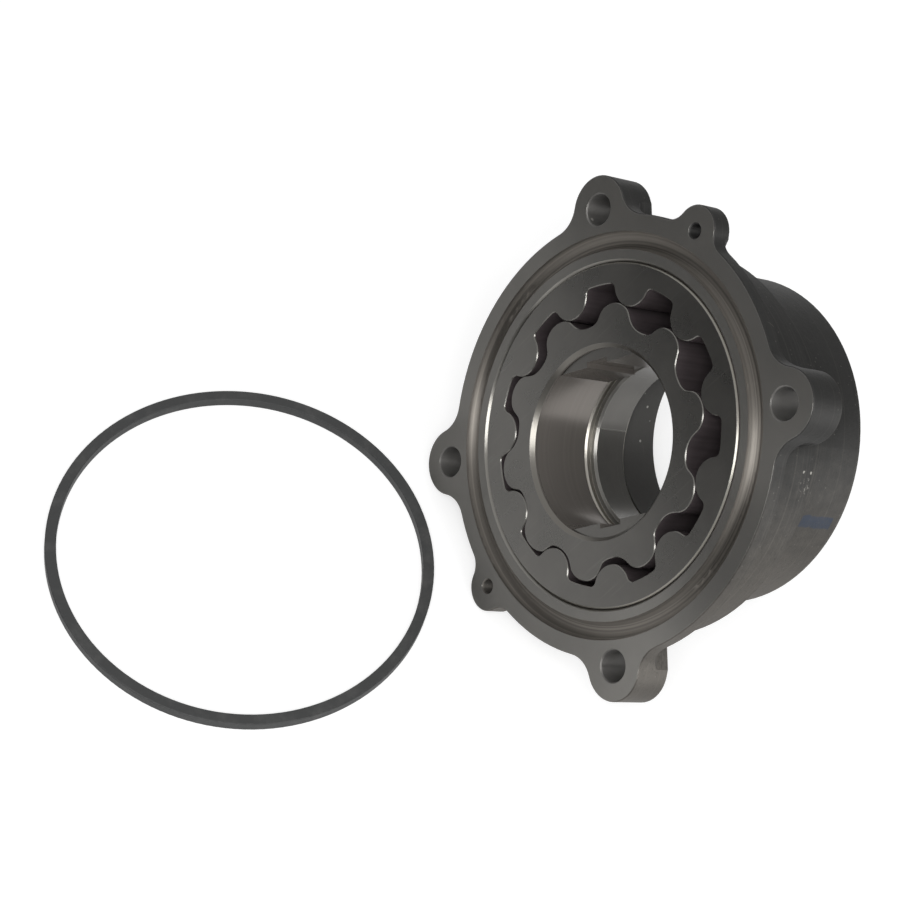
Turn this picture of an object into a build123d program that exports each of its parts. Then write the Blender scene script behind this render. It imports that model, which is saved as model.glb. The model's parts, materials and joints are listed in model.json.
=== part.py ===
"""Gerotor oil pump laid on a bench, with its face seal beside it.

The pump is modelled in its own axes: the mounting face is z = 0, the centre of the rotor
pocket is the origin and the body runs back to -z. One placement then lays the pump down
on a bolt ear, a lug and the rim of its drum, so that +Z is up and the origin stays at
the middle of the mounting face.
"""
import os
from cmath import exp
from math import acos, atan, atan2, cos, degrees, hypot, radians, sin

from build123d import *

# Gerotor set: the lobes of the outer rotor drive every other diameter
INNER_TEETH = 10
TROCHOID_RATIO = 0.789
ECCENTRIC_ANGLE = 224.4
LOBE_CIRCLE_RADIUS = 52.0
LOBE_RADIUS = 8.0
ROTOR_WIDTH = 26.0
OUTER_ROTOR_RIM = 7.2
OUTER_ROTOR_TURN = 8.0
MESH_CLEARANCE = 0.12
ROOT_CLEARANCE = 0.25
ROOT_CORNER_RADIUS = 2.2
ROTOR_EDGE_CHAMFER = 0.5
TOOTH_EDGE_BREAK = 0.3
FLANK_STEPS = 12
POCKET_CLEARANCE = 0.1
POCKET_END_CLEARANCE = 0.1
POCKET_RIM_CHAMFER = 1.0

# Double-flat drive bore of the inner rotor
DRIVE_WALL = 7.77
DRIVE_BORE_CHAMFER = 1.4
DRIVE_FLAT_STEP = 5.3
DRIVE_FLAT_ANGLE = 105.0
DRIVE_FLAT_SETBACK = 2.2
DRIVE_SLOT_WIDTH = 9.5
DRIVE_SLOT_DEPTH = 1.8

# Face seal and its groove
RIM_LAND = 4.3
GROOVE_WIDTH = 6.2
GROOVE_FLOOR_FLAT = 0.4
GROOVE_STRAIGHT_WALL = 0.1
SEAL_WIDTH = 4.0
SEAL_HEIGHT = 4.0
SEAL_EDGE_RADIUS = 0.4
SEAL_WALL_CLEARANCE = 0.5
SEAL_LEFT_OF_PUMP = 27.2
SEAL_GAP_TO_PUMP = 2.3

# Mounting flange, bolt ears and lugs
OUTER_LAND = 6.2
FLANGE_THICKNESS = 5.2
BOLT_COUNT = 4
BOLT_OUTSET = 2.5
BOLT_FIRST_ANGLE = 11.1
BOLT_HOLE_RADIUS = 5.5
EAR_WALL = 6.5
EAR_LENGTH = 14.0
EAR_BLEND_RADIUS = 11.0
EAR_FOOT_RADIUS = 4.0
LUG_OUTSET = 0.4
LUG_ANGLES = (66.2, 228.9)
LUG_HOLE_RADIUS = 2.5
LUG_WALL = 6.3
LUG_LENGTH = 7.2
LUG_FOOT_RADIUS = 1.5
LUG_BLEND_RADIUS = 7.0
HOLE_CHAMFER = 0.4
FLANGE_EDGE_BREAK = 0.4

# Barrel round the rotors and the drum behind it
BARREL_WALL = 8.1
POCKET_FLOOR = 3.9
BARREL_EDGE_CHAMFER = 0.8
DRUM_STEP = 9.11
DRUM_LENGTH = 35.0
DRUM_RISE = 3.75
DRUM_EDGE_CHAMFER = 1.5
CAST_FILLET = 3.0
DRUM_WALL = 20.4

# Wrapped bush behind the rotors
BUSH_BORE_RADIUS = 30.0
BUSH_WALL = 2.5
BUSH_LENGTH = 15.0
BUSH_SETBACK = 2.9
BUSH_SEAM_WIDTH = 0.15
BUSH_SEAM_ANGLE = 170.0
BUSH_CHAMFER = 0.8
SEAT_CHAMFER = 1.2
SEAT_RUNOUT = 2.0

# Blind kidney recesses in the pocket floor
PORT_DEPTH = 4.5
PORT_INSET = 1.0
PORT_LAND_ANGLE = 24.0
PORT_CORNER_RADIUS = 2.0

# Working values: points nearer than the first are one, and rounds to settle the pose
SAME_PLACE = 0.01
POSE_ROUNDS = 40

# Sizes that follow from those above
OUTER_LOBES = INNER_TEETH + 1
INNER_ROTOR_TURN = OUTER_ROTOR_TURN * OUTER_LOBES / INNER_TEETH
ECCENTRICITY = TROCHOID_RATIO * LOBE_CIRCLE_RADIUS / OUTER_LOBES
INNER_TIP_RADIUS = LOBE_CIRCLE_RADIUS - LOBE_RADIUS + ECCENTRICITY
INNER_ROOT_RADIUS = LOBE_CIRCLE_RADIUS - LOBE_RADIUS - ECCENTRICITY
DRIVE_BORE_RADIUS = INNER_ROOT_RADIUS - DRIVE_WALL
DRIVE_FLAT_DISTANCE = DRIVE_BORE_RADIUS - DRIVE_FLAT_STEP
OUTER_ROOT_RADIUS = INNER_TIP_RADIUS + ECCENTRICITY + ROOT_CLEARANCE
OUTER_ROTOR_RADIUS = OUTER_ROOT_RADIUS + OUTER_ROTOR_RIM
POCKET_RADIUS = OUTER_ROTOR_RADIUS + POCKET_CLEARANCE
POCKET_DEPTH = ROTOR_WIDTH + POCKET_END_CLEARANCE
GROOVE_INNER_RADIUS = POCKET_RADIUS + RIM_LAND
GROOVE_OUTER_RADIUS = GROOVE_INNER_RADIUS + GROOVE_WIDTH
GROOVE_FLOOR_RADIUS = (GROOVE_WIDTH - GROOVE_FLOOR_FLAT) / 2
GROOVE_DEPTH = GROOVE_FLOOR_RADIUS + GROOVE_STRAIGHT_WALL
SEAL_OUTER_RADIUS = GROOVE_OUTER_RADIUS - SEAL_WALL_CLEARANCE
FLANGE_RADIUS = GROOVE_OUTER_RADIUS + OUTER_LAND
BOLT_CIRCLE_RADIUS = FLANGE_RADIUS + BOLT_OUTSET
LUG_CIRCLE_RADIUS = FLANGE_RADIUS + LUG_OUTSET
EAR_RADIUS = BOLT_HOLE_RADIUS + EAR_WALL
LUG_RADIUS = LUG_HOLE_RADIUS + LUG_WALL
BARREL_RADIUS = POCKET_RADIUS + BARREL_WALL
BARREL_LENGTH = POCKET_DEPTH + POCKET_FLOOR
DRUM_RADIUS = BARREL_RADIUS - DRUM_STEP
REAR_CAVITY_RADIUS = DRUM_RADIUS - DRUM_WALL
BODY_LENGTH = BARREL_LENGTH + DRUM_LENGTH
BUSH_OUTER_RADIUS = BUSH_BORE_RADIUS + BUSH_WALL
BUSH_FRONT = POCKET_DEPTH + BUSH_SETBACK
SEAT_END = BUSH_FRONT + BUSH_LENGTH + SEAT_RUNOUT


def polar(radius, angle):
    """A point in the plane of the mounting face."""
    return (radius * cos(radians(angle)), radius * sin(radians(angle)))


BOLT_ANGLES = [BOLT_FIRST_ANGLE + i * 360 / BOLT_COUNT for i in range(BOLT_COUNT)]
BOLT_CENTRES = [polar(BOLT_CIRCLE_RADIUS, angle) for angle in BOLT_ANGLES]
LUG_CENTRES = [polar(LUG_CIRCLE_RADIUS, angle) for angle in LUG_ANGLES]
POCKET_AXIS = (0, 0)
DRIVE_AXIS = polar(ECCENTRICITY, ECCENTRIC_ANGLE)
DRUM_AXIS = (0, DRUM_RISE)


def bar(radius, centre, front, back):
    """A round bar between two depths behind the mounting face."""
    return extrude(Pos(*centre, -front) * Circle(radius), front - back)


def turned(points, centre=POCKET_AXIS, blends=()):
    """A turned solid from (radius, depth) points, with (point, radius) corner blends."""
    outline = make_face(Polyline(*[(r, -depth) for r, depth in points], close=True))
    for (r, depth), size in blends:
        corner = outline.vertices().sort_by_distance((r, -depth))[0]
        outline = fillet(corner, size)
    return Pos(*centre) * revolve(Plane.XZ * outline, Axis.Z)


def mouth(radius, size, centre, depth, inward=1):
    """What a chamfer takes off the mouth of a round hole that opens at a given depth."""
    end = depth + inward * size
    return turned([(0, depth), (radius + size, depth), (radius, end), (0, end)], centre)


def flange_outline():
    """Flange disc with its bolt ears and lugs blended in."""
    outline = Circle(FLANGE_RADIUS)
    for centres, radius, blend in (
        (BOLT_CENTRES, EAR_RADIUS, EAR_BLEND_RADIUS),
        (LUG_CENTRES, LUG_RADIUS, LUG_BLEND_RADIUS),
    ):
        for centre in centres:
            outline += Pos(*centre) * Circle(radius)
            corners = [
                vertex for vertex in outline.vertices()
                if abs(hypot(vertex.X - centre[0], vertex.Y - centre[1]) - radius) < SAME_PLACE
                and abs(hypot(vertex.X, vertex.Y) - FLANGE_RADIUS) < SAME_PLACE
            ]
            outline = fillet(corners, blend)
    return outline


def boss(outline, radius, length, foot_radius, angle):
    """What stands behind the flange at an ear or lug, with a fillet at its foot on both sides."""
    blend = min(foot_radius, (length - FLANGE_THICKNESS) / 2)
    foot = radius + blend
    knee = -FLANGE_THICKNESS - blend
    top = -FLANGE_THICKNESS / 2
    right = RadiusArc((foot, -FLANGE_THICKNESS), (radius, knee), -blend)
    left = RadiusArc((-radius, knee), (-foot, -FLANGE_THICKNESS), -blend)
    base = Polyline(right @ 1, (radius, -length), (-radius, -length), left @ 0)
    sides = Polyline(left @ 1, (-foot, top), (foot, top), right @ 0)
    section = make_face([right, base, left, sides])
    radial = Plane(polar(POCKET_RADIUS, angle), polar(1, angle + 90) + (0,), polar(1, angle) + (0,))
    return extrude(outline, -length) & extrude(radial * section, BOLT_CIRCLE_RADIUS)


def barrel():
    """Wall round the rotors, with a cast fillet under the flange."""
    inner = FLANGE_THICKNESS / 2
    under_flange = (BARREL_RADIUS, FLANGE_THICKNESS)
    edge = BARREL_LENGTH - BARREL_EDGE_CHAMFER
    outer = BARREL_RADIUS + 2 * CAST_FILLET
    points = [
        (0, inner), (outer, inner), (outer, FLANGE_THICKNESS), under_flange,
        (BARREL_RADIUS, edge), (BARREL_RADIUS - BARREL_EDGE_CHAMFER, BARREL_LENGTH),
        (0, BARREL_LENGTH),
    ]
    return turned(points, blends=[(under_flange, CAST_FILLET)])


def drum():
    """Round rear body, set off from the pocket, with a fillet up to the barrel."""
    inner = BARREL_LENGTH - CAST_FILLET
    outer = DRUM_RADIUS + CAST_FILLET + BARREL_EDGE_CHAMFER
    under_barrel = (DRUM_RADIUS, BARREL_LENGTH)
    edge = BODY_LENGTH - DRUM_EDGE_CHAMFER
    points = [
        (0, inner), (outer, inner), (outer, BARREL_LENGTH), under_barrel,
        (DRUM_RADIUS, edge), (DRUM_RADIUS - DRUM_EDGE_CHAMFER, BODY_LENGTH), (0, BODY_LENGTH),
    ]
    return turned(points, DRUM_AXIS, [(under_barrel, CAST_FILLET)])


def seal_groove():
    """Face groove that is round all across but for a narrow flat floor."""
    floor = [(GROOVE_INNER_RADIUS, GROOVE_DEPTH), (GROOVE_OUTER_RADIUS, GROOVE_DEPTH)]
    points = [(GROOVE_INNER_RADIUS, 0), *floor, (GROOVE_OUTER_RADIUS, 0)]
    return turned(points, blends=[(point, GROOVE_FLOOR_RADIUS) for point in floor])


def kidney_ports():
    """Recesses on both sides of the eccentric line, between the two root circles."""
    ring = Circle(OUTER_ROOT_RADIUS - PORT_INSET)
    ring -= Pos(*DRIVE_AXIS) * Circle(INNER_ROOT_RADIUS + PORT_INSET)
    reach = 2 * OUTER_ROOT_RADIUS
    ports = Part()
    for side in (1, -1):
        start = PORT_LAND_ANGLE
        end = 180 - PORT_LAND_ANGLE
        rays = [polar(reach, ECCENTRIC_ANGLE + side * angle) for angle in (start, 90, end)]
        wedge = make_face(Polyline((0, 0), *rays, close=True))
        kidney = ring & wedge
        kidney = fillet(kidney.vertices(), PORT_CORNER_RADIUS)
        ports += extrude(Pos(0, 0, -POCKET_DEPTH) * kidney, -PORT_DEPTH)
    return ports


def pump_housing():
    """One casting: flange, ears, barrel and drum, machined for the rotors and the bush."""
    outline = flange_outline()
    flange = extrude(outline, -FLANGE_THICKNESS)
    body = chamfer(flange.edges().group_by(Axis.Z)[-1], FLANGE_EDGE_BREAK) + barrel() + drum()
    body += [boss(outline, EAR_RADIUS, EAR_LENGTH, EAR_FOOT_RADIUS, angle) for angle in BOLT_ANGLES]
    body += [boss(outline, LUG_RADIUS, LUG_LENGTH, LUG_FOOT_RADIUS, angle) for angle in LUG_ANGLES]
    body -= bar(POCKET_RADIUS, POCKET_AXIS, 0, POCKET_DEPTH)
    body -= mouth(POCKET_RADIUS, POCKET_RIM_CHAMFER, POCKET_AXIS, 0)
    body -= seal_groove()
    body -= kidney_ports()
    body -= bar(BUSH_OUTER_RADIUS, DRIVE_AXIS, POCKET_DEPTH, SEAT_END)
    body -= mouth(BUSH_OUTER_RADIUS, SEAT_CHAMFER, DRIVE_AXIS, POCKET_DEPTH)
    body -= bar(REAR_CAVITY_RADIUS, DRUM_AXIS, SEAT_END, BODY_LENGTH)
    body -= mouth(REAR_CAVITY_RADIUS, DRUM_EDGE_CHAMFER, DRUM_AXIS, BODY_LENGTH, -1)
    for centre in BOLT_CENTRES:
        body -= bar(BOLT_HOLE_RADIUS, centre, 0, EAR_LENGTH)
        body -= mouth(BOLT_HOLE_RADIUS, HOLE_CHAMFER, centre, 0)
    for centre in LUG_CENTRES:
        body -= bar(LUG_HOLE_RADIUS, centre, 0, LUG_LENGTH)
        body -= mouth(LUG_HOLE_RADIUS, HOLE_CHAMFER, centre, 0)
    return body


def outer_rotor():
    """Ring with round inner lobes, one more than the inner rotor has teeth."""
    cavity = Circle(OUTER_ROOT_RADIUS)
    for i in range(OUTER_LOBES):
        cavity -= Pos(*polar(LOBE_CIRCLE_RADIUS, (i + 0.5) * 360 / OUTER_LOBES)) * Circle(LOBE_RADIUS)
    cavity = fillet(cavity.vertices(), ROOT_CORNER_RADIUS)
    ring = bar(OUTER_ROTOR_RADIUS, POCKET_AXIS, 0, ROTOR_WIDTH)
    rims = ring.edges().filter_by(GeomType.CIRCLE)
    ring = chamfer(rims, ROTOR_EDGE_CHAMFER)
    ring -= extrude(cavity, -ROTOR_WIDTH)
    ends = ring.faces().sort_by(Axis.Z)
    mouths = [edge for end in (ends[0], ends[-1]) for edge in end.inner_wires()[0].edges()]
    ring = chamfer(mouths, TOOTH_EDGE_BREAK)
    return Rot(0, 0, ECCENTRIC_ANGLE + OUTER_ROTOR_TURN) * ring


def tooth_point(angle):
    """Inner rotor flank: the path of a lobe's centre, offset inwards by the lobe."""
    turn = exp(1j * radians(angle))
    wobble = ECCENTRICITY * turn ** OUTER_LOBES
    path = LOBE_CIRCLE_RADIUS * turn - wobble
    tangent = LOBE_CIRCLE_RADIUS * turn - OUTER_LOBES * wobble
    point = path - (LOBE_RADIUS + MESH_CLEARANCE) * tangent / abs(tangent)
    return (point.real, point.imag)


def drive_bore():
    """Round mouth, then a bore with two flats that each hold a slot."""
    width = 2 * DRIVE_BORE_RADIUS
    flats = Rectangle(2 * DRIVE_FLAT_DISTANCE, width)
    slots = Rectangle(2 * (DRIVE_FLAT_DISTANCE + DRIVE_SLOT_DEPTH), DRIVE_SLOT_WIDTH)
    section = (Circle(DRIVE_BORE_RADIUS) & flats) + slots
    bore = Rot(0, 0, DRIVE_FLAT_ANGLE) * extrude(section, -ROTOR_WIDTH)
    bore += bar(DRIVE_BORE_RADIUS, POCKET_AXIS, 0, DRIVE_FLAT_SETBACK)
    return bore + mouth(DRIVE_BORE_RADIUS, DRIVE_BORE_CHAMFER, POCKET_AXIS, 0)


def inner_rotor():
    """Trochoid rotor that the drive shaft turns by the flats of its bore."""
    pitch = 360 / INNER_TEETH
    points = [tooth_point(pitch * i / FLANK_STEPS) for i in range(FLANK_STEPS + 1)]
    headings = [polar(1, 90), polar(1, 90 + pitch)]
    tooth = Spline(*points, tangents=headings)
    outline = make_face([Rot(0, 0, i * pitch) * tooth for i in range(INNER_TEETH)])
    rotor = extrude(outline, -ROTOR_WIDTH)
    ends = rotor.edges().group_by(Axis.Z)
    rotor = chamfer(ends[0] + ends[-1], TOOTH_EDGE_BREAK)
    tip_to_eccentric = ECCENTRIC_ANGLE + INNER_ROTOR_TURN - pitch / 2
    rotor = Rot(0, 0, tip_to_eccentric) * rotor - drive_bore()
    return Pos(*DRIVE_AXIS) * rotor


def bearing_bush():
    """Rolled strip bush with a butt seam, pressed into the housing."""
    back = BUSH_FRONT + BUSH_LENGTH
    points = [
        (BUSH_BORE_RADIUS, BUSH_FRONT + BUSH_CHAMFER), (BUSH_BORE_RADIUS + BUSH_CHAMFER, BUSH_FRONT),
        (BUSH_OUTER_RADIUS, BUSH_FRONT), (BUSH_OUTER_RADIUS, back),
        (BUSH_BORE_RADIUS + BUSH_CHAMFER, back), (BUSH_BORE_RADIUS, back - BUSH_CHAMFER),
    ]
    seam = Pos(BUSH_OUTER_RADIUS, 0) * Rectangle(2 * BUSH_OUTER_RADIUS, BUSH_SEAM_WIDTH)
    slit = extrude(Rot(0, 0, BUSH_SEAM_ANGLE) * seam, -back)
    return Pos(*DRIVE_AXIS) * (turned(points) - slit)


def bench_pose():
    """Roll and tilt, in degrees, and bench height of the pump lying on three points."""
    ear_angle = BOLT_FIRST_ANGLE
    lug_angle = LUG_ANGLES[1] - 180
    ear = polar(BOLT_CIRCLE_RADIUS, ear_angle)
    lug = polar(LUG_CIRCLE_RADIUS, lug_angle)
    along = ear[0] - lug[0]
    across = ear[1] - lug[1]
    slope = 0
    for _ in range(POSE_ROUNDS):
        ear_reach = EAR_RADIUS + EAR_LENGTH * slope
        lug_reach = LUG_RADIUS + LUG_LENGTH * slope
        swing = acos((lug_reach - ear_reach) / hypot(along, across))
        roll = atan2(across, along) + swing
        drop = LUG_CIRCLE_RADIUS * cos(radians(lug_angle) - roll) + LUG_RADIUS
        drum_drop = DRUM_RADIUS - DRUM_RISE * sin(roll)
        slope = (drop - drum_drop) / (BODY_LENGTH - DRUM_EDGE_CHAMFER - LUG_LENGTH)
    tilt = atan(slope)
    bench = -(drop + LUG_LENGTH * slope) * cos(tilt)
    return degrees(roll), degrees(tilt), bench


ROLL, TILT, BENCH = bench_pose()
LAID_DOWN = Rot(90 - TILT, 0, 0) * Rot(0, 0, 90 - ROLL)


def face_seal():
    """Square-section seal ring lying flat on the bench in front of the pump."""
    inner = SEAL_OUTER_RADIUS - SEAL_WIDTH
    section = Pos((inner + SEAL_OUTER_RADIUS) / 2, SEAL_HEIGHT / 2)
    section = section * RectangleRounded(SEAL_WIDTH, SEAL_HEIGHT, SEAL_EDGE_RADIUS)
    pump_front = (BOLT_CIRCLE_RADIUS + EAR_RADIUS) * sin(radians(TILT))
    forward = pump_front + SEAL_GAP_TO_PUMP + SEAL_OUTER_RADIUS
    ring = revolve(Plane.XZ * section, Axis.Z)
    return Pos(-SEAL_LEFT_OF_PUMP, -forward, BENCH) * ring


def main():
    os.makedirs("parts", exist_ok=True)
    for make in (pump_housing, bearing_bush, outer_rotor, inner_rotor):
        export_step(LAID_DOWN * make(), f"parts/{make.__name__}.step")
    export_step(face_seal(), "parts/face_seal.step")


if __name__ == "__main__":
    main()
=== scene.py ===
"""Looks of the gerotor oil pump: camera, bench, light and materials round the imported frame."""
import json
from math import atan2, cos, pi, radians, sin

import bpy
from mathutils import Euler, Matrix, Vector


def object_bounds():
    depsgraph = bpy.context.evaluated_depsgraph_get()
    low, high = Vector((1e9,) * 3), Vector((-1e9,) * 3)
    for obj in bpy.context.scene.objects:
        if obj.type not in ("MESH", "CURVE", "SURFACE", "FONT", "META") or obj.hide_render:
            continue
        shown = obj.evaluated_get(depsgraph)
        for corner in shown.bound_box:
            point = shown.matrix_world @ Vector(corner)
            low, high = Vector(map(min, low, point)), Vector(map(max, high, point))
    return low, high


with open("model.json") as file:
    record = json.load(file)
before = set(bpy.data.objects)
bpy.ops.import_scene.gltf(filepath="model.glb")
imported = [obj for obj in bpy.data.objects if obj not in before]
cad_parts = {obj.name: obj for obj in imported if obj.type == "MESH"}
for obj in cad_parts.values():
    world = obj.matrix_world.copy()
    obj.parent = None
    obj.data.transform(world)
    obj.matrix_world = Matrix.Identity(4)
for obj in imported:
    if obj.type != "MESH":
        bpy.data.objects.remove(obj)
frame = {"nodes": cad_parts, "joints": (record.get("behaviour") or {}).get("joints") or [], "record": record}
cad_low, cad_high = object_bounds()

MM = 0.001

# Camera of the photograph: metres, degrees, and millimetres for lens and sensor
CAMERA_PLACE = (0.3744, -0.3261, 0.6471)
CAMERA_TURN = (34.453, -10.608, 69.554)
CAMERA_LENS = 96.1
CAMERA_SENSOR = 36.0
CAMERA_CLIP = 0.01

# Sizes of the pump that the finishes follow
POCKET_RADIUS = 59.0 * MM
POCKET_DEPTH = 26.1 * MM
RIM_CHAMFER = 1.0 * MM
GROOVE_RADII = (63.3 * MM, 69.5 * MM)
GROOVE_DEPTH = 3.0 * MM
BOLT_CHAMFER = 0.4 * MM
BOLT_FIRST_ANGLE = 61.2
SEAT_RADIUS = 33.7 * MM
SEAT_END = 46.0 * MM
BODY_LENGTH = 65.0 * MM
BARREL_RADIUS = 67.1 * MM
DRUM_CENTRE = (-2.88 * MM, 2.41 * MM)
CAVITY_RADIUS = 37.6 * MM
LOBE_REACH = 51.8 * MM
ROTOR_RIM = 57.0 * MM
ROTOR_EDGE = 0.5 * MM
BORE_RADIUS = 33.0 * MM
BORE_MOUTH = 1.4 * MM
BORE_LEDGE = 2.2 * MM

# How far a finish reaches past its own surface
SKIN = 0.06 * MM

# Marks on the outside: degrees about the axis, depth behind the face and the share at full strength
PAINT_ANGLE = 24.0
PAINT_HALF_ANGLE = 2.6
PAINT_CORE = 0.7
PAINT_SWAY = 2.0
PAINT_DEPTHS = (44.0 * MM, 60.0 * MM)
NICK_ANGLE = 45.3
NICK_DEPTHS = (25.1 * MM, 28.7 * MM)
NICK_RADIUS = 0.6 * MM
NICK_CORE = 0.5
NICK_SWAY = 1.6 * NICK_RADIUS
WORN_ANGLE = 41.5
WORN_DEPTH = 26.5 * MM
WORN_REACH = 4.2 * MM
WORN_CORE = 0.4

# Side of the casting that painted shade darkens, as a direction in the face, and where the painted shade
# begins and is full
SHADED_SIDE = (-0.34, 0.94, 0.0)
SHADE_REACH = (-27.0 * MM, 38.0 * MM)
SHADE_SWAY = 30.0 * MM

# Colours of the housing; a pair runs from the dark to the light end of a pattern
TURNED_IRON = ((0.150, 0.147, 0.139), (0.228, 0.220, 0.205))
GROOVE_IRON = ((0.168, 0.156, 0.141), (0.268, 0.248, 0.222))
SEAT_IRON = (0.42, 0.40, 0.36)
RIM_IRON = (0.22, 0.212, 0.195)
DRILLED_IRON = (0.135, 0.131, 0.124)
# Painted highlight along the sharp edges of the housing
IRON_EDGE_HIGHLIGHT = (0.30, 0.29, 0.27)
BARE_CASTING = ((0.098, 0.092, 0.084), (0.172, 0.160, 0.144))
# Painted shade: casting colours for its upper side, darker than the bare casting
SHADED_CASTING = ((0.040, 0.040, 0.039), (0.068, 0.067, 0.065))
CAVITY_CASTING = ((0.086, 0.084, 0.080), (0.42, 0.41, 0.38))
STREAK = (0.190, 0.178, 0.160)
PIT = (0.040, 0.038, 0.035)
CHIP = (0.24, 0.23, 0.21)
SCAR = (0.26, 0.25, 0.22)
NICK = (0.60, 0.58, 0.53)
BLUE_PAINT = (0.050, 0.066, 0.098)

# Colours of the rotors
LAPPED_STEEL = ((0.108, 0.106, 0.101), (0.172, 0.166, 0.155))
GROUND_LINE = (0.195, 0.189, 0.177)
STEEL_DUST = (0.36, 0.35, 0.33)
BORE_STEEL = ((0.190, 0.172, 0.156), (0.245, 0.225, 0.205))
# Darker, reddish steel of the tooth flanks
FLANK_TINT = ((0.064, 0.053, 0.055), (0.135, 0.112, 0.117))
TOOTH_EDGE = (0.125, 0.120, 0.110)
# Painted highlight: the outer rotor's rim chamfer lighter than the tooth edges
OUTER_EDGE_HIGHLIGHT = (0.21, 0.20, 0.175)
MOUTH_STEEL = (0.140, 0.133, 0.120)
# Painted highlight along the sharp edges of the rotors
STEEL_EDGE_HIGHLIGHT = (0.40, 0.39, 0.36)

# Colours of bush and seal
BUSH_STRIP = ((0.120, 0.116, 0.108), (0.170, 0.164, 0.152))
# Painted highlight on the chamfers and edges of the bush
BUSH_EDGE_HIGHLIGHT = (0.74, 0.72, 0.67)
RUBBER = ((0.030, 0.031, 0.031), (0.052, 0.052, 0.051))
# Painted highlight along the edges of the seal
RUBBER_EDGE_HIGHLIGHT = (0.085, 0.085, 0.084)

# Roughness; a pair is spread over a pattern
TURNED_ROUGH = (0.28, 0.42)
GROOVE_ROUGH = (0.40, 0.56)
RIM_ROUGH = 0.28
CAST_ROUGH = (0.46, 0.66)
DRILLED_ROUGH = 0.50
LAPPED_ROUGH = (0.24, 0.32)
FLANK_ROUGH = (0.26, 0.44)
BORE_ROUGH = (0.16, 0.26)
TOOTH_EDGE_ROUGH = 0.22
MOUTH_ROUGH = 0.28
BUSH_ROUGH = (0.18, 0.30)
RUBBER_ROUGH = (0.50, 0.68)

# Share of bare metal in a surface, where the rest is oxide, oil or stain
BARE_METAL = 1.0
CAST_METAL = 0.85
DRILLED_METAL = 0.55
TOOTH_EDGE_METAL = 0.6
BORE_METAL = 0.5
FLANK_METAL = 0.4
BUSH_METAL = 0.55

# How strongly turning marks draw highlights out
HOUSING_TURNING = 0.85
BUSH_TURNING = 0.5

# Bench, cards and light: places and sizes in metres, power in watts
WHITE = (1.0, 1.0, 1.0, 1.0)
FLOOR_SIZE = 8.0
FLOOR_COLOUR = (0.57, 0.57, 0.57, 1.0)
FLOOR_LIFT = 0.60
CARD_GREY = (0.11, 0.11, 0.11, 1.0)
CARDS = {
    "front_card": ((-0.35, -0.48, 0.22), (2.0, 0.6)),
    "rear_card": ((-0.10, 0.95, 0.52), (2.0, 1.2)),
}
AMBIENT = 0.55
KEY_BEHIND_CAMERA = 1.2
KEY_SIZE = 0.35
KEY_POWER = 4.0
FILL_PLACE = (1.1, 0.1, 0.55)
FILL_SIZE = 0.9
FILL_POWER = 5.0

mounts = {mount["name"]: mount for mount in frame["record"]["mounts"]}
joints = {joint["name"]: joint for joint in frame["joints"]}
bolts = mounts["bolt_circle"]["dims"]
BOLT_COUNT = bolts["count"]
BOLT_CIRCLE = bolts["pcd_mm"] / 2 * MM
BOLT_HOLE = bolts["hole_r_mm"] * MM
FACE_NORMAL = Vector(mounts["bolt_circle"]["axis"])
POCKET_PLACE = Vector(joints["outer_rotor_spin"]["pos_m"])
DRIVE_PLACE = Vector(joints["inner_rotor_spin"]["pos_m"])
FACE_TURN = Euler((atan2(-FACE_NORMAL.y, FACE_NORMAL.z), 0, 0))
DRIVE_OFFSET = FACE_TURN.to_matrix().inverted() @ (DRIVE_PLACE - POCKET_PLACE)
DRIVE_CENTRE = (DRIVE_OFFSET.x, DRIVE_OFFSET.y)


class Tree:
    """A node tree that is built up by short calls."""

    def __init__(self, tree):
        self.tree = tree

    def add(self, kind, inputs=None, **settings):
        """A node with its settings and its inputs, which are sockets or plain values."""
        node = self.tree.nodes.new(kind)
        for key, value in settings.items():
            setattr(node, key, value)
        for key, value in (inputs or {}).items():
            self.feed(node.inputs[key], value)
        return node

    def feed(self, socket, value):
        if isinstance(value, bpy.types.NodeSocket):
            self.tree.links.new(value, socket)
        else:
            socket.default_value = value

    def math(self, operation, first, second=0.0):
        node = self.add("ShaderNodeMath", {0: first, 1: second}, operation=operation)
        return node.outputs[0]

    def both(self, *masks):
        """1 where every mask is 1."""
        joined = masks[0]
        for mask in masks[1:]:
            joined = self.math("MULTIPLY", joined, mask)
        return joined

    def either(self, *masks):
        """The strongest of several masks."""
        joined = masks[0]
        for mask in masks[1:]:
            joined = self.math("MAXIMUM", joined, mask)
        return joined

    def spread(self, value, low, high):
        """Maps 0..1 on to low..high."""
        node = self.add("ShaderNodeMapRange", {"Value": value, "To Min": low, "To Max": high})
        return node.outputs["Result"]

    def seen_ray(self):
        """1 for rays from the camera and for those that a mirror or glass sends on."""
        path = self.add("ShaderNodeLightPath").outputs
        return self.either(path["Is Camera Ray"], path["Is Glossy Ray"], path["Is Transmission Ray"])


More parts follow.
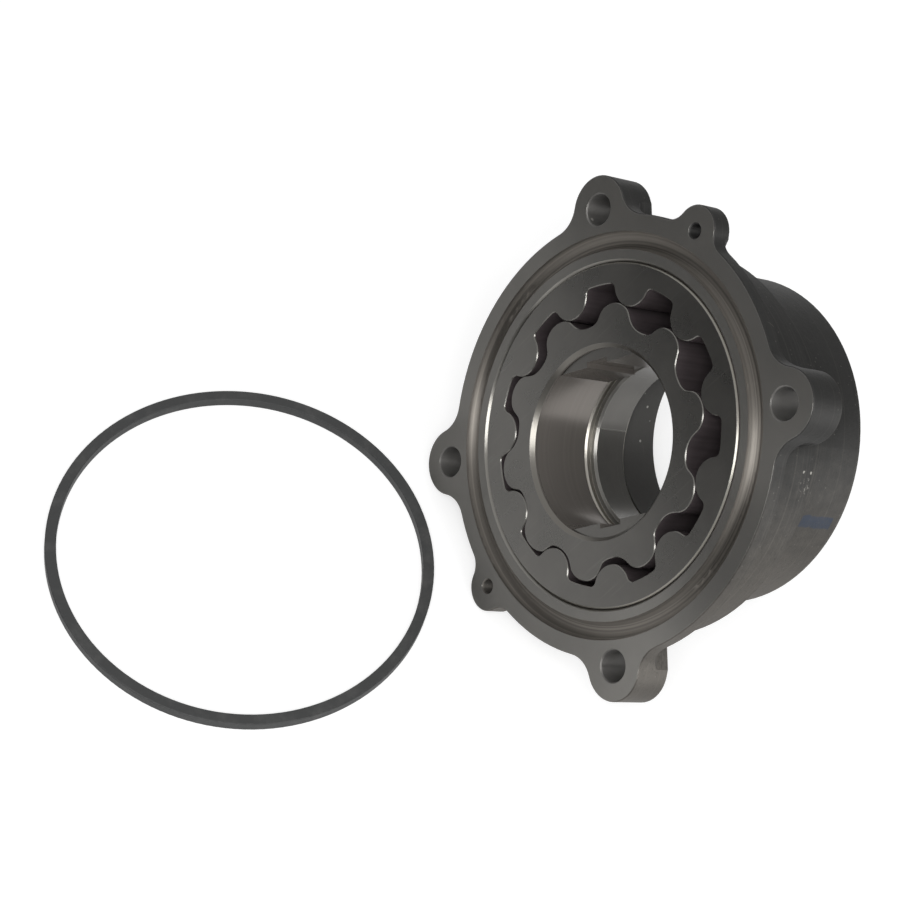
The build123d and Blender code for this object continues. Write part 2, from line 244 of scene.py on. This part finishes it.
class Graph(Tree):
    """A procedural material."""

    MIDDLE = 0.5
    SPOT_CORE = 0.6
    LINE_CORE = 0.3
    BREAK_SCALE = 1.7
    BREAK_BLUR = 0.06
    QUARTER_TURN = 0.25
    EDGE_SAMPLES = 6

    def __init__(self, name):
        self.material = bpy.data.materials.new(name)
        self.material.use_nodes = True
        super().__init__(self.material.node_tree)
        self.shader = self.tree.nodes["Principled BSDF"]

    def scaled(self, pattern, by):
        return self.math("MULTIPLY", pattern, by)

    def sway(self, pattern, reach):
        """A pattern as a shift to both sides of 0."""
        return self.scaled(self.math("SUBTRACT", pattern, self.MIDDLE), by=reach)

    def between(self, value, low, high):
        """1 where the value lies between two limits."""
        return self.both(self.math("GREATER_THAN", value, low), self.math("LESS_THAN", value, high))

    def step(self, value, low, high):
        """Smooth step from 0 at low to 1 at high, or falling where low is above high."""
        ends = (high, low) if low > high else (low, high)
        levels = (1.0, 0.0) if low > high else (0.0, 1.0)
        inputs = {"Value": value, "From Min": ends[0], "From Max": ends[1]}
        inputs.update({"To Min": levels[0], "To Max": levels[1]})
        node = self.add("ShaderNodeMapRange", inputs, interpolation_type="SMOOTHSTEP")
        return node.outputs["Result"]

    def mix(self, factor, first, second):
        """Mixes two colours, each a socket or three numbers."""
        node = self.add("ShaderNodeMix", data_type="RGBA")
        self.feed(node.inputs["Factor"], factor)
        for socket, value in ((node.inputs[6], first), (node.inputs[7], second)):
            self.feed(socket, value if isinstance(value, bpy.types.NodeSocket) else (*value, 1.0))
        return node.outputs[2]

    def mix_value(self, factor, first, second):
        node = self.add("ShaderNodeMix", {"Factor": factor, 2: first, 3: second})
        return node.outputs[0]

    def noise(self, vector, scale, detail=3.0, rough=0.55):
        inputs = {"Vector": vector, "Scale": scale, "Detail": detail, "Roughness": rough}
        return self.add("ShaderNodeTexNoise", inputs).outputs["Fac"]

    def lines(self, value, scale, detail=2.0):
        """Noise that changes along one measure only, for tool marks."""
        inputs = {"W": value, "Scale": scale, "Detail": detail}
        return self.add("ShaderNodeTexNoise", inputs, noise_dimensions="1D").outputs["Fac"]

    def stretched(self, vector, scale):
        """The vector with its parts scaled, for streaks."""
        return self.add("ShaderNodeMapping", {"Vector": vector, "Scale": scale}).outputs[0]

    def specks(self, vector, scale, size, share):
        """Small round spots in a share of the cells of a random pattern."""
        cells = self.add("ShaderNodeTexVoronoi", {"Vector": vector, "Scale": scale})
        chance = self.add("ShaderNodeSeparateColor", {0: cells.outputs["Color"]}).outputs[0]
        spot = self.step(cells.outputs["Distance"], low=size, high=self.SPOT_CORE * size)
        return self.both(spot, self.math("LESS_THAN", chance, share))

    def scratches(self, vector, scale, width, share):
        """Thin crooked lines, broken off where a second pattern is low."""
        path = self.math("SUBTRACT", self.noise(vector, scale, detail=1.0), self.MIDDLE)
        line = self.step(self.math("ABSOLUTE", path), low=width, high=self.LINE_CORE * width)
        breaks = self.noise(vector, self.BREAK_SCALE * scale, detail=1.0)
        return self.both(line, self.step(breaks, low=1 - share, high=1 - share + self.BREAK_BLUR))

    def space(self, origin):
        """Vector, and its parts, in axes that lie in the mounting face and stand out of it."""
        place = self.add("ShaderNodeTexCoord").outputs["Object"]
        inputs = {"Vector": place, "Location": origin, "Rotation": FACE_TURN}
        vector = self.add("ShaderNodeMapping", inputs, vector_type="TEXTURE").outputs[0]
        return vector, self.add("ShaderNodeSeparateXYZ", {0: vector}).outputs

    def arms(self, parts, centre):
        """Distances along the mounting face from an axis square to it."""
        return [self.math("SUBTRACT", parts[axis], middle) for axis, middle in zip("XY", centre)]

    def radius(self, parts, centre=(0, 0)):
        """Distance from an axis square to the mounting face."""
        squares = [self.math("MULTIPLY", arm, arm) for arm in self.arms(parts, centre)]
        return self.math("SQRT", self.math("ADD", *squares))

    def angle(self, parts, centre=(0, 0)):
        """Angle about such an axis, in radians."""
        across, along = self.arms(parts, centre)
        return self.math("ARCTAN2", along, across)

    def vector_math(self, operation, first, second=None):
        inputs = {0: first} if second is None else {0: first, 1: second}
        return self.add("ShaderNodeVectorMath", inputs, operation=operation).outputs

    def turned(self, origin, strength):
        """Highlights drawn out across the tool marks of work turned about an axis."""
        place = self.add("ShaderNodeNewGeometry").outputs["Position"]
        arm = self.vector_math("SUBTRACT", place, origin)[0]
        along = self.vector_math("CROSS_PRODUCT", FACE_NORMAL, arm)[0]
        self.feed(self.shader.inputs["Tangent"], self.vector_math("NORMALIZE", along)[0])
        self.shader.inputs["Anisotropic"].default_value = strength
        self.shader.inputs["Anisotropic Rotation"].default_value = self.QUARTER_TURN

    def edges(self, reach, low=0.02, high=0.25):
        """1 along sharp outer and inner edges, 0 on smooth surfaces."""
        soft = self.add("ShaderNodeBevel", {"Radius": reach}, samples=self.EDGE_SAMPLES).outputs[0]
        sharp = self.add("ShaderNodeNewGeometry").outputs["Normal"]
        dot = self.vector_math("DOT_PRODUCT", soft, sharp)["Value"]
        return self.step(self.math("SUBTRACT", 1.0, dot), low, high)

    def bump(self, height, strength, distance):
        inputs = {"Height": height, "Strength": strength, "Distance": distance}
        return self.add("ShaderNodeBump", inputs).outputs["Normal"]

    def finish(self, colour, roughness, normal, metallic):
        surface = {"Base Color": colour, "Roughness": roughness, "Normal": normal, "Metallic": metallic}
        for key, value in surface.items():
            self.feed(self.shader.inputs[key], value)
        return self.material


def on_circle(radius, turn):
    """Place on a circle at an angle in radians."""
    return radius * cos(turn), radius * sin(turn)


def housing_masks(g, parts):
    """Where the casting is machined, and some kinds of place on it, by name."""
    depth = parts["Z"]
    r = g.radius(parts)
    face = g.math("GREATER_THAN", depth, -SKIN)
    pocket = g.both(
        g.math("LESS_THAN", r, POCKET_RADIUS + RIM_CHAMFER + SKIN),
        g.math("GREATER_THAN", depth, -POCKET_DEPTH - SKIN))
    groove = g.both(
        g.between(r, GROOVE_RADII[0] - SKIN, GROOVE_RADII[1] + SKIN),
        g.math("GREATER_THAN", depth, -GROOVE_DEPTH - SKIN))
    seat = g.both(
        g.math("LESS_THAN", g.radius(parts, DRIVE_CENTRE), SEAT_RADIUS + SKIN),
        g.math("GREATER_THAN", depth, -SEAT_END))
    back = g.math("LESS_THAN", depth, -BODY_LENGTH + SKIN)
    holes = []
    for i in range(BOLT_COUNT):
        turn = radians(BOLT_FIRST_ANGLE) + i * 2 * pi / BOLT_COUNT
        from_hole = g.radius(parts, on_circle(BOLT_CIRCLE, turn))
        holes.append(g.math("LESS_THAN", from_hole, BOLT_HOLE + BOLT_CHAMFER + SKIN))
    drilled = g.both(g.either(*holes), g.math("LESS_THAN", depth, -SKIN))
    rim = g.both(
        g.between(r, POCKET_RADIUS + SKIN, POCKET_RADIUS + RIM_CHAMFER),
        g.between(depth, -RIM_CHAMFER, -SKIN))
    cavity = g.both(
        g.math("LESS_THAN", g.radius(parts, DRUM_CENTRE), CAVITY_RADIUS + SKIN),
        g.between(depth, -BODY_LENGTH, -SEAT_END))
    machined = g.either(face, pocket, groove, seat, back)
    return machined, {"rim": rim, "groove": groove, "seat": seat, "drilled": drilled, "cavity": cavity}


def from_barrel_spot(g, place, angle, depth):
    """Distance from a spot on the barrel, which an angle in degrees and a depth give."""
    spot = (*on_circle(BARREL_RADIUS, radians(angle)), -depth)
    return g.vector_math("DISTANCE", place, spot)["Value"]


def drum_marks(g, place, parts):
    """Paint mark, and two bright nicks with a worn patch, on the outside of the casting."""
    ragged = g.sway(g.noise(place, scale=420.0), reach=radians(PAINT_SWAY))
    angle = g.math("ADD", g.angle(parts, DRUM_CENTRE), ragged)
    off = g.math("ABSOLUTE", g.math("SUBTRACT", angle, radians(PAINT_ANGLE)))
    across = g.step(off, low=radians(PAINT_HALF_ANGLE), high=radians(PAINT_CORE * PAINT_HALF_ANGLE))
    along = g.between(parts["Z"], -PAINT_DEPTHS[1], -PAINT_DEPTHS[0])
    paint = g.both(across, along, g.spread(g.noise(place, scale=900.0), low=0.35, high=1.0))

    torn = g.sway(g.noise(place, scale=1800.0), reach=NICK_SWAY)
    nicks = []
    for depth in NICK_DEPTHS:
        gap = g.math("ADD", from_barrel_spot(g, place, NICK_ANGLE, depth), torn)
        nicks.append(g.scaled(g.step(gap, low=NICK_RADIUS, high=NICK_CORE * NICK_RADIUS), by=0.55))
    from_patch = from_barrel_spot(g, place, WORN_ANGLE, WORN_DEPTH)
    patch = g.step(from_patch, low=WORN_REACH, high=WORN_CORE * WORN_REACH)
    flecks = g.step(g.noise(place, scale=800.0, detail=2.0), low=0.56, high=0.70)
    worn = g.both(patch, flecks, g.spread(g.noise(place, scale=500.0), low=0.0, high=0.5))
    return paint, g.either(*nicks, worn)


def turned_finish(g, kinds, r, blotch):
    """Colour, roughness and height of the machined surfaces of the housing."""
    rings = g.lines(r, scale=5200.0)
    coarse_rings = g.lines(r, scale=1500.0)
    groove_colour = g.mix(g.step(coarse_rings, low=0.30, high=0.70), *GROOVE_IRON)
    colour = g.mix(kinds["groove"], g.mix(blotch, *TURNED_IRON), groove_colour)
    colour = g.mix(kinds["seat"], colour, SEAT_IRON)
    rough = g.mix_value(kinds["rim"], g.spread(rings, *TURNED_ROUGH), RIM_ROUGH)
    rough = g.mix_value(kinds["groove"], rough, g.spread(coarse_rings, *GROOVE_ROUGH))
    return colour, rough, g.scaled(rings, by=0.12)


def cast_finish(g, kinds, place, parts, blotch):
    """Colour, roughness and height of the cast skin, with painted shade on its upper side."""
    hoops = g.lines(parts["Z"], scale=900.0, detail=4.0)
    grain = g.noise(place, scale=1100.0, detail=4.0, rough=0.65)
    swell = g.noise(place, scale=240.0)
    pits = g.step(grain, low=0.50, high=0.25)
    chips = g.specks(place, scale=620.0, size=0.22, share=0.16)
    splashes = g.specks(place, scale=330.0, size=0.20, share=0.10)
    scars = g.scratches(place, scale=42.0, width=0.004, share=0.36)
    dust = g.specks(place, scale=130.0, size=0.10, share=0.05)
    paint, nicks = drum_marks(g, place, parts)

    # Painted shade: the casting grows darker towards its upper side, and the hoop streaks fade there
    aside = g.vector_math("DOT_PRODUCT", place, SHADED_SIDE)["Value"]
    painted_shade = g.step(g.math("ADD", aside, g.sway(swell, reach=SHADE_SWAY)), *SHADE_REACH)
    colour = g.mix(painted_shade, g.mix(blotch, *BARE_CASTING), g.mix(blotch, *SHADED_CASTING))
    streaks = g.both(g.step(hoops, low=0.52, high=0.75), g.spread(painted_shade, low=0.35, high=0.12))
    colour = g.mix(streaks, colour, STREAK)
    colour = g.mix(g.scaled(pits, by=0.45), colour, PIT)
    colour = g.mix(g.scaled(chips, by=0.30), colour, CHIP)
    colour = g.mix(kinds["cavity"], colour, g.mix(splashes, *CAVITY_CASTING))
    colour = g.mix(kinds["drilled"], colour, DRILLED_IRON)
    colour = g.mix(g.scaled(scars, by=0.25), colour, SCAR)
    colour = g.mix(g.either(nicks, g.scaled(dust, by=0.5)), colour, NICK)
    colour = g.mix(paint, colour, BLUE_PAINT)
    rough = g.mix_value(kinds["drilled"], g.spread(grain, *CAST_ROUGH), DRILLED_ROUGH)
    return colour, rough, g.math("ADD", grain, g.scaled(swell, by=1.6))


def housing_iron():
    """Dark cast iron, turned on the face, in the groove, in the rotor pocket and at the back, with a painted
    highlight along sharp edges and painted shade on the upper side of the casting.
    """
    g = Graph("housing_iron")
    place, parts = g.space(POCKET_PLACE)
    machined, kinds = housing_masks(g, parts)
    blotch = g.noise(place, scale=34.0, detail=4.0)
    turned_colour, turned_rough, turned_height = turned_finish(g, kinds, g.radius(parts), blotch)
    cast_colour, cast_rough, cast_height = cast_finish(g, kinds, place, parts, blotch)
    colour = g.mix(machined, cast_colour, turned_colour)
    # Painted highlight: sharp edges lighter
    colour = g.mix(g.scaled(g.edges(reach=0.30 * MM), by=0.10), colour, IRON_EDGE_HIGHLIGHT)
    colour = g.mix(kinds["rim"], colour, RIM_IRON)
    rough = g.mix_value(machined, cast_rough, turned_rough)
    height = g.mix_value(machined, cast_height, turned_height)
    metallic = g.mix_value(g.either(kinds["drilled"], kinds["cavity"]), CAST_METAL, DRILLED_METAL)
    metallic = g.mix_value(machined, metallic, BARE_METAL)
    g.turned(POCKET_PLACE, HOUSING_TURNING)
    return g.finish(colour, rough, g.bump(height, strength=0.55, distance=0.12 * MM), metallic)


def rotor_steel(name, origin):
    """Ground sintered steel: lapped ends, broken edges, a bored middle and darker reddish flanks, with a
    painted highlight along sharp edges and on the outer rim chamfer.
    """
    g = Graph(name)
    place, parts = g.space(origin)
    depth = parts["Z"]
    r = g.radius(parts)
    end = g.math("GREATER_THAN", depth, -SKIN)
    broken = g.between(depth, -ROTOR_EDGE - SKIN, -SKIN)
    bore = g.math("LESS_THAN", r, BORE_RADIUS)
    ledge = g.both(bore, g.between(depth, -BORE_LEDGE - SKIN, -BORE_LEDGE + SKIN))
    lapped = g.either(end, ledge)
    mouth = g.both(
        g.math("LESS_THAN", r, BORE_RADIUS + BORE_MOUTH),
        g.between(depth, -BORE_MOUTH, -SKIN))
    flank = g.both(
        g.between(r, BORE_RADIUS + BORE_MOUTH, LOBE_REACH),
        g.math("LESS_THAN", depth, -SKIN))
    hoops = g.lines(depth, scale=600.0, detail=4.0)
    blotch = g.noise(place, scale=46.0, detail=4.0)
    axial = g.noise(g.stretched(place, (1.0, 1.0, 0.04)), scale=700.0, rough=0.6)
    ground = g.noise(g.stretched(place, (1.0, 0.03, 1.0)), scale=900.0, rough=0.6)
    pores = g.noise(place, scale=2600.0, detail=2.0)
    dust = g.specks(place, scale=90.0, size=0.07, share=0.06)

    end_colour = g.mix(g.step(ground, low=0.55, high=0.95), g.mix(blotch, *LAPPED_STEEL), GROUND_LINE)
    end_colour = g.mix(g.scaled(dust, by=0.5), end_colour, STEEL_DUST)
    # Tooth edges in their own colour; beyond ROTOR_RIM the rim chamfer is lighter as a painted highlight
    edge_colour_and_highlight = g.mix(g.math("GREATER_THAN", r, ROTOR_RIM), TOOTH_EDGE, OUTER_EDGE_HIGHLIGHT)
    colour = g.mix(flank, g.mix(hoops, *BORE_STEEL), g.mix(axial, *FLANK_TINT))
    colour = g.mix(lapped, colour, end_colour)
    colour = g.mix(broken, colour, edge_colour_and_highlight)
    colour = g.mix(mouth, colour, MOUTH_STEEL)
    # Painted highlight: sharp edges lighter
    colour = g.mix(g.scaled(g.edges(reach=0.22 * MM), by=0.05), colour, STEEL_EDGE_HIGHLIGHT)
    rough = g.mix_value(bore, g.spread(axial, *FLANK_ROUGH), g.spread(hoops, *BORE_ROUGH))
    rough = g.mix_value(broken, rough, TOOTH_EDGE_ROUGH)
    rough = g.mix_value(mouth, rough, MOUTH_ROUGH)
    rough = g.mix_value(lapped, rough, g.spread(blotch, *LAPPED_ROUGH))
    metallic = g.mix_value(bore, FLANK_METAL, BORE_METAL)
    metallic = g.mix_value(broken, metallic, TOOTH_EDGE_METAL)
    metallic = g.mix_value(g.either(lapped, mouth), metallic, BARE_METAL)
    side_height = g.mix_value(bore, axial, g.scaled(hoops, by=0.15))
    end_height = g.scaled(g.math("ADD", ground, pores), by=0.15)
    height = g.mix_value(lapped, side_height, end_height)
    return g.finish(colour, rough, g.bump(height, strength=0.30, distance=0.03 * MM), metallic)


def bush_metal():
    """Fine-bored bearing strip with faint hoop lines, and a painted highlight on its chamfers."""
    g = Graph("bush_metal")
    place, parts = g.space(DRIVE_PLACE)
    hoops = g.lines(parts["Z"], scale=3600.0)
    colour = g.mix(g.noise(place, scale=90.0, detail=4.0), *BUSH_STRIP)
    # Painted highlight: chamfers and edges much lighter
    colour = g.mix(g.scaled(g.edges(reach=0.45 * MM), by=0.9), colour, BUSH_EDGE_HIGHLIGHT)
    g.turned(DRIVE_PLACE, BUSH_TURNING)
    normal = g.bump(hoops, strength=0.25, distance=0.02 * MM)
    return g.finish(colour, g.spread(hoops, *BUSH_ROUGH), normal, BUSH_METAL)


def seal_rubber():
    """Matte moulded rubber with dust, a fine skin and a painted highlight along its edges."""
    g = Graph("seal_rubber")
    place = g.add("ShaderNodeTexCoord").outputs["Object"]
    skin = g.noise(place, scale=1500.0)
    dust = g.noise(place, scale=140.0, detail=5.0, rough=0.6)
    colour = g.mix(g.step(dust, low=0.45, high=0.75), *RUBBER)
    # Painted highlight: edges lighter
    colour = g.mix(g.scaled(g.edges(reach=0.5 * MM), by=0.4), colour, RUBBER_EDGE_HIGHLIGHT)
    normal = g.bump(skin, strength=0.35, distance=0.04 * MM)
    return g.finish(colour, g.spread(skin, *RUBBER_ROUGH), normal, metallic=0.0)


def give(node, material):
    """Puts one material on a CAD node."""
    mesh = frame["nodes"][node].data
    mesh.materials.clear()
    mesh.materials.append(material)


def floor_paper():
    """White paper that keeps the shadow and is lifted where it is seen."""
    material = bpy.data.materials.new("paper")
    material.use_nodes = True
    material.node_tree.nodes.clear()
    t = Tree(material.node_tree)
    diffuse = t.add("ShaderNodeBsdfDiffuse", {"Color": FLOOR_COLOUR})
    strength = t.math("MULTIPLY", t.seen_ray(), FLOOR_LIFT)
    lift = t.add("ShaderNodeEmission", {"Color": WHITE, "Strength": strength})
    lifted = t.add("ShaderNodeAddShader", {0: diffuse.outputs[0], 1: lift.outputs[0]})
    t.add("ShaderNodeOutputMaterial", {"Surface": lifted.outputs[0]})
    return material


def card_paper():
    """Matte grey of the cards."""
    material = bpy.data.materials.new("card_grey")
    material.use_nodes = True
    shader = material.node_tree.nodes["Principled BSDF"]
    shader.inputs["Base Color"].default_value = CARD_GREY
    shader.inputs["Roughness"].default_value = 1.0
    return material


def studio_world():
    """World that is white where it is seen and softer as light."""
    world = bpy.data.worlds.new("studio")
    world.use_nodes = True
    t = Tree(world.node_tree)
    sky = world.node_tree.nodes["Background"]
    t.feed(sky.inputs["Color"], WHITE)
    t.feed(sky.inputs["Strength"], t.spread(t.seen_ray(), low=AMBIENT, high=1.0))
    return world


def softbox(name, place, size, power):
    """Square area lamp that looks at the middle of the mounting face."""
    lamp = bpy.data.lights.new(name, "AREA")
    lamp.size = size
    lamp.energy = power
    holder = bpy.data.objects.new(name, lamp)
    holder.location = place
    holder.rotation_euler = (-Vector(place)).to_track_quat("-Z", "Y").to_euler()
    holder.visible_camera = False
    bpy.context.scene.collection.objects.link(holder)


give("pump_housing", housing_iron())
give("outer_rotor", rotor_steel("outer_rotor_steel", POCKET_PLACE))
give("inner_rotor", rotor_steel("inner_rotor_steel", DRIVE_PLACE))
give("bearing_bush", bush_metal())
give("face_seal", seal_rubber())

# Bench
bpy.ops.mesh.primitive_plane_add(size=FLOOR_SIZE, location=(0, 0, cad_low.z))
floor = bpy.context.object
floor.name = "floor"
floor.data.materials.append(floor_paper())

# Grey cards before and behind the pump, which only reflections show
grey = card_paper()
for name, (place, size) in CARDS.items():
    bpy.ops.mesh.primitive_plane_add(size=1, location=place, rotation=(pi / 2, 0, 0))
    card = bpy.context.object
    card.name = name
    card.scale = (*size, 1)
    card.visible_camera = False
    card.visible_diffuse = False
    card.visible_shadow = False
    card.data.materials.append(grey)

# Light
bpy.context.scene.world = studio_world()
softbox("key", Vector(CAMERA_PLACE) * KEY_BEHIND_CAMERA, KEY_SIZE, KEY_POWER)
softbox("fill", FILL_PLACE, FILL_SIZE, FILL_POWER)

# Camera
camera = bpy.data.objects.new("camera", bpy.data.cameras.new("camera"))
camera.location = CAMERA_PLACE
camera.rotation_euler = [radians(angle) for angle in CAMERA_TURN]
camera.data.lens = CAMERA_LENS
camera.data.sensor_width = CAMERA_SENSOR
camera.data.clip_start = CAMERA_CLIP
bpy.context.scene.collection.objects.link(camera)
bpy.context.scene.camera = camera
bpy.context.scene.view_settings.view_transform = "Standard"
